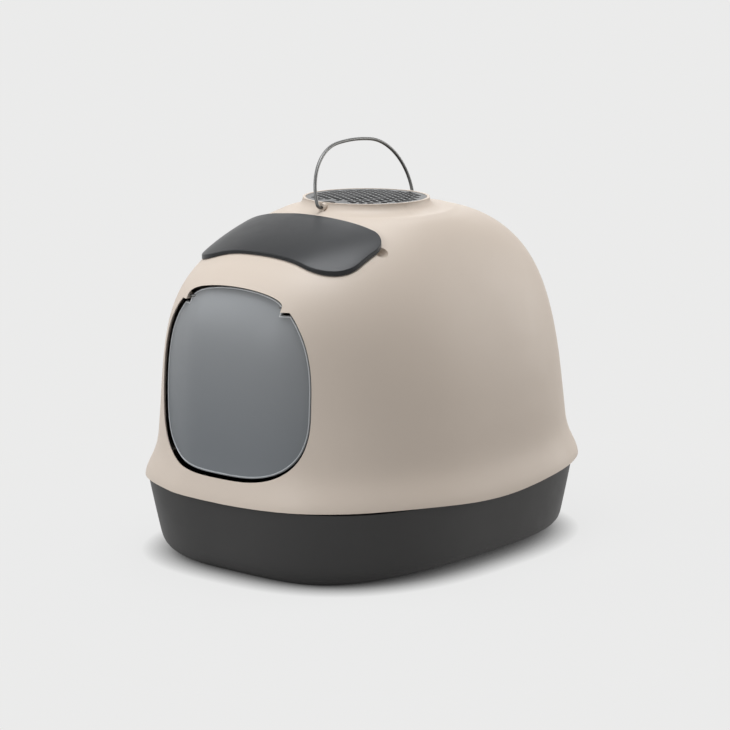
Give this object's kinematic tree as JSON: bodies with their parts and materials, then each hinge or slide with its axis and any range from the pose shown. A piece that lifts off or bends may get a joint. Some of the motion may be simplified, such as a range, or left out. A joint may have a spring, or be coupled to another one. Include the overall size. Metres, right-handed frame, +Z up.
{
  "type": "litter box",
  "caption": "Covered cat litter box: open tray, domed hood with a hanging flap door, a lift-off lid over a scoop well, a round filter vent and a wire bail.",
  "frame": {"origin": "on the floor, at the middle of the object's plan", "axes": "+Z up, -Y the side with the flap door, +X to the right when the door is faced"},
  "size_m": [0.4042, 0.4942, 0.4553],
  "materials": {
    "hood_plastic": "fine matt moulded, warm beige",
    "tray_plastic": "matt moulded, near black",
    "dark_plastic": "matt moulded, charcoal",
    "smoked_flap": "smoked, see-through, satin",
    "steel": "polished wire",
    "carbon_felt": "needled carbon felt"
  },
  "bodies": {
    "tray": {"tray": "tray_plastic"},
    "hood": {"hood": "hood_plastic", "scoop_well": "dark_plastic"},
    "door": {"door_flap": "smoked_flap", "door_hinge_pins": "steel"},
    "lid": {"storage_lid": "dark_plastic"},
    "scoop": {"litter_scoop": "dark_plastic"},
    "vent": {"vent_grille": "dark_plastic", "filter_cage": "dark_plastic", "carbon_filter": "carbon_felt"},
    "bail": {"bail_handle": "steel"}
  },
  "joints": [
    {"name": "hood_lift", "type": "slide", "parent": "tray", "child": "hood", "axis": [0, 0, 1], "range_m": [0, 0.15]},
    {"name": "door_swing", "type": "hinge", "parent": "hood", "child": "door", "pos_m": [0, -0.2113, 0.299], "axis": [1, 0, 0], "range_deg": [-45, 62]},
    {"name": "lid_lift", "type": "slide", "parent": "hood", "child": "lid", "axis": [0, 0, 1], "range_m": [0, 0.12]},
    {"name": "scoop_lift", "type": "slide", "parent": "hood", "child": "scoop", "axis": [0, 0, 1], "range_m": [0, 0.06]},
    {"name": "vent_lift", "type": "slide", "parent": "hood", "child": "vent", "axis": [0, 0, 1], "range_m": [0, 0.028]},
    {"name": "bail_swing", "type": "hinge", "parent": "hood", "child": "bail", "pos_m": [0, 0.0044, 0.386], "axis": [0, 1, 0], "range_deg": [-67, 97]}
  ],
  "couplings": [
    {"joint": "scoop_lift", "follows": "lid_lift", "ratio": 0.5}
  ]
}
